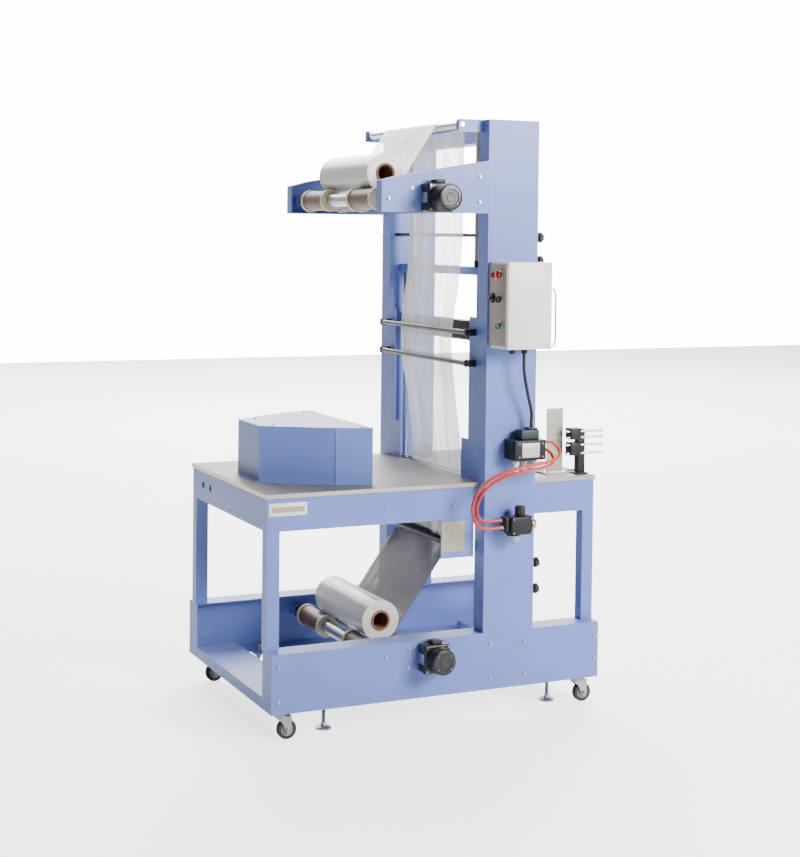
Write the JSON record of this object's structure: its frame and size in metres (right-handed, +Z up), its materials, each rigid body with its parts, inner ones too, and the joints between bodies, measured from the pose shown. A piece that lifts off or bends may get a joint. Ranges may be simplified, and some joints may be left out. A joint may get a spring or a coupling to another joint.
{
  "type": "film sleeve sealing machine",
  "caption": "Free-standing sleeve sealer: worktop on a casters base, gantry columns, film cradles above and below, and a sliding jaw that seals the film curtain at the table.",
  "frame": {"origin": "middle of the machine's outer box on the floor", "axes": "+X the way the product travels, +Y from the operator's side to the rear, +Z up"},
  "size_m": [1.215, 0.9222, 1.925],
  "materials": {
    "blue_paint": "satin powder coat",
    "stainless": "brushed",
    "zinc": "zinc plated",
    "chromed": "polished",
    "black_alloy": "black anodised",
    "motor_black": "satin",
    "black_plastic": "matte",
    "roller_drum": "sealed, with plastic rims",
    "film": "thin translucent film",
    "box_white": "satin",
    "hose_orange": "gloss",
    "cable_black": "matte",
    "wheel_grey": "matte",
    "button_red": "gloss",
    "button_green": "gloss"
  },
  "bodies": {
    "frame": {"base_frame": "blue_paint", "table_frame_infeed": "blue_paint", "table_frame_outfeed": "blue_paint", "column_front": "blue_paint", "column_rear": "blue_paint", "cradle_arm_front": "blue_paint", "cradle_arm_rear": "blue_paint", "cradle_tie_bar": "blue_paint", "top_crossbeam": "blue_paint", "jaw_crossbeam": "blue_paint", "guide_cover_front": "blue_paint", "guide_cover_rear": "blue_paint", "infeed_cover": "blue_paint", "worktop_infeed": "stainless", "worktop_outfeed": "stainless", "lower_jaw": "stainless", "outfeed_guide_plate": "stainless", "cylinder_front": "stainless", "cylinder_rear": "stainless", "film_guide_bar_upper": "chromed", "film_guide_bar_lower": "chromed", "outfeed_guide_stand": "black_alloy", "valve_block": "black_alloy", "air_regulator": "black_alloy", "gear_motor_upper": "motor_black", "gear_motor_lower": "motor_black", "upper_web": "film", "lower_web": "film", "control_box": "box_white", "control_cable": "cable_black", "air_tube_outer": "hose_orange", "air_tube_inner": "hose_orange"},
    "upper_jaw": {"upper_jaw": "black_alloy"},
    "upper_film_roll": {"upper_film_roll": "film"},
    "upper_idler_roller": {"upper_idler_roller": "roller_drum"},
    "upper_drive_roller": {"upper_drive_roller": "roller_drum"},
    "lower_film_roll": {"lower_film_roll": "film"},
    "lower_idler_roller": {"lower_idler_roller": "roller_drum"},
    "lower_drive_roller": {"lower_drive_roller": "roller_drum"},
    "top_roller": {"top_roller": "chromed"},
    "inner_top_roller": {"inner_top_roller": "chromed"},
    "mid_roller": {"mid_roller": "black_alloy"},
    "lower_guide_roller": {"lower_guide_roller": "black_alloy"},
    "caster_fork_infeed_front": {"caster_fork_infeed_front": "zinc"},
    "caster_wheel_infeed_front": {"caster_wheel_infeed_front": "wheel_grey"},
    "levelling_foot_infeed_front": {"levelling_foot_infeed_front": "zinc"},
    "caster_fork_infeed_rear": {"caster_fork_infeed_rear": "zinc"},
    "caster_wheel_infeed_rear": {"caster_wheel_infeed_rear": "wheel_grey"},
    "levelling_foot_infeed_rear": {"levelling_foot_infeed_rear": "zinc"},
    "caster_fork_outfeed_front": {"caster_fork_outfeed_front": "zinc"},
    "caster_wheel_outfeed_front": {"caster_wheel_outfeed_front": "wheel_grey"},
    "levelling_foot_outfeed_front": {"levelling_foot_outfeed_front": "zinc"},
    "caster_fork_outfeed_rear": {"caster_fork_outfeed_rear": "zinc"},
    "caster_wheel_outfeed_rear": {"caster_wheel_outfeed_rear": "wheel_grey"},
    "levelling_foot_outfeed_rear": {"levelling_foot_outfeed_rear": "zinc"},
    "button_red": {"button_red": "button_red"},
    "button_black": {"button_black": "black_plastic"},
    "button_green": {"button_green": "button_green"},
    "selector": {"selector": "black_plastic"},
    "regulator_knob": {"regulator_knob": "black_plastic"}
  },
  "joints": [
    {"name": "jaw_travel", "type": "slide", "parent": "frame", "child": "upper_jaw", "axis": [0, 0, 1], "range_m": [-0.44, 0]},
    {"name": "upper_roll_spin", "type": "hinge", "parent": "frame", "child": "upper_film_roll", "pos_m": [-0.1455, 0.06015, 1.75221], "axis": [0, 1, 0], "continuous": true},
    {"name": "upper_idler_spin", "type": "hinge", "parent": "frame", "child": "upper_idler_roller", "pos_m": [-0.2055, 0.06015, 1.668], "axis": [0, 1, 0], "continuous": true},
    {"name": "upper_drive_spin", "type": "hinge", "parent": "frame", "child": "upper_drive_roller", "pos_m": [-0.0855, 0.06015, 1.668], "axis": [0, 1, 0], "continuous": true},
    {"name": "lower_roll_spin", "type": "hinge", "parent": "frame", "child": "lower_film_roll", "pos_m": [-0.1455, 0.06015, 0.29921], "axis": [0, 1, 0], "continuous": true},
    {"name": "lower_idler_spin", "type": "hinge", "parent": "frame", "child": "lower_idler_roller", "pos_m": [-0.2055, 0.06015, 0.215], "axis": [0, 1, 0], "continuous": true},
    {"name": "lower_drive_spin", "type": "hinge", "parent": "frame", "child": "lower_drive_roller", "pos_m": [-0.0855, 0.06015, 0.215], "axis": [0, 1, 0], "continuous": true},
    {"name": "top_roller_spin", "type": "hinge", "parent": "frame", "child": "top_roller", "pos_m": [0.0485, 0.06015, 1.908], "axis": [0, 1, 0], "continuous": true},
    {"name": "inner_top_roller_spin", "type": "hinge", "parent": "frame", "child": "inner_top_roller", "pos_m": [0.1275, 0.06015, 1.908], "axis": [0, 1, 0], "continuous": true},
    {"name": "mid_roller_spin", "type": "hinge", "parent": "frame", "child": "mid_roller", "pos_m": [0.1505, 0.06015, 1.555], "axis": [0, 1, 0], "continuous": true},
    {"name": "lower_guide_roller_spin", "type": "hinge", "parent": "frame", "child": "lower_guide_roller", "pos_m": [0.0925, 0.06015, 0.54], "axis": [0, 1, 0], "continuous": true},
    {"name": "caster_swivel_infeed_front", "type": "hinge", "parent": "frame", "child": "caster_fork_infeed_front", "pos_m": [-0.5495, -0.28285, 0.08], "axis": [0, 0, 1], "continuous": true},
    {"name": "caster_roll_infeed_front", "type": "hinge", "parent": "caster_fork_infeed_front", "child": "caster_wheel_infeed_front", "pos_m": [-0.5275, -0.28285, 0.031], "axis": [0, 1, 0], "continuous": true},
    {"name": "foot_screw_infeed_front", "type": "hinge", "parent": "frame", "child": "levelling_foot_infeed_front", "pos_m": [-0.3825, -0.23285, 0.05], "axis": [0, 0, 1], "continuous": true},
    {"name": "caster_swivel_infeed_rear", "type": "hinge", "parent": "frame", "child": "caster_fork_infeed_rear", "pos_m": [-0.5495, 0.40315, 0.08], "axis": [0, 0, 1], "continuous": true},
    {"name": "caster_roll_infeed_rear", "type": "hinge", "parent": "caster_fork_infeed_rear", "child": "caster_wheel_infeed_rear", "pos_m": [-0.5275, 0.40315, 0.031], "axis": [0, 1, 0], "continuous": true},
    {"name": "foot_screw_infeed_rear", "type": "hinge", "parent": "frame", "child": "levelling_foot_infeed_rear", "pos_m": [-0.3825, 0.35315, 0.05], "axis": [0, 0, 1], "continuous": true},
    {"name": "caster_swivel_outfeed_front", "type": "hinge", "parent": "frame", "child": "caster_fork_outfeed_front", "pos_m": [0.5105, -0.28285, 0.08], "axis": [0, 0, 1], "continuous": true},
    {"name": "caster_roll_outfeed_front", "type": "hinge", "parent": "caster_fork_outfeed_front", "child": "caster_wheel_outfeed_front", "pos_m": [0.5325, -0.28285, 0.031], "axis": [0, 1, 0], "continuous": true},
    {"name": "foot_screw_outfeed_front", "type": "hinge", "parent": "frame", "child": "levelling_foot_outfeed_front", "pos_m": [0.4285, -0.23285, 0.05], "axis": [0, 0, 1], "continuous": true},
    {"name": "caster_swivel_outfeed_rear", "type": "hinge", "parent": "frame", "child": "caster_fork_outfeed_rear", "pos_m": [0.5105, 0.40315, 0.08], "axis": [0, 0, 1], "continuous": true},
    {"name": "caster_roll_outfeed_rear", "type": "hinge", "parent": "caster_fork_outfeed_rear", "child": "caster_wheel_outfeed_rear", "pos_m": [0.5325, 0.40315, 0.031], "axis": [0, 1, 0], "continuous": true},
    {"name": "foot_screw_outfeed_rear", "type": "hinge", "parent": "frame", "child": "levelling_foot_outfeed_rear", "pos_m": [0.4285, 0.35315, 0.05], "axis": [0, 0, 1], "continuous": true},
    {"name": "button_red_press", "type": "slide", "parent": "frame", "child": "button_red", "axis": [1, 0, 0], "range_m": [0, 0.003], "stiffness_N_per_m": 300},
    {"name": "button_black_press", "type": "slide", "parent": "frame", "child": "button_black", "axis": [1, 0, 0], "range_m": [0, 0.003], "stiffness_N_per_m": 300},
    {"name": "button_green_press", "type": "slide", "parent": "frame", "child": "button_green", "axis": [1, 0, 0], "range_m": [0, 0.003], "stiffness_N_per_m": 300},
    {"name": "selector_turn", "type": "hinge", "parent": "frame", "child": "selector", "pos_m": [0.1282, -0.37085, 1.357], "axis": [1, 0, 0], "range_deg": [-45, 45]},
    {"name": "regulator_knob_turn", "type": "hinge", "parent": "frame", "child": "regulator_knob", "pos_m": [0.2275, -0.38785, 0.675], "axis": [0, 0, 1], "range_deg": [-360, 360]}
  ],
  "couplings": [
    {"joint": "upper_idler_spin", "follows": "upper_roll_spin", "ratio": -1.7105},
    {"joint": "upper_drive_spin", "follows": "upper_roll_spin", "ratio": -1.7105},
    {"joint": "lower_idler_spin", "follows": "lower_roll_spin", "ratio": -1.7105},
    {"joint": "lower_drive_spin", "follows": "lower_roll_spin", "ratio": -1.7105}
  ]
}
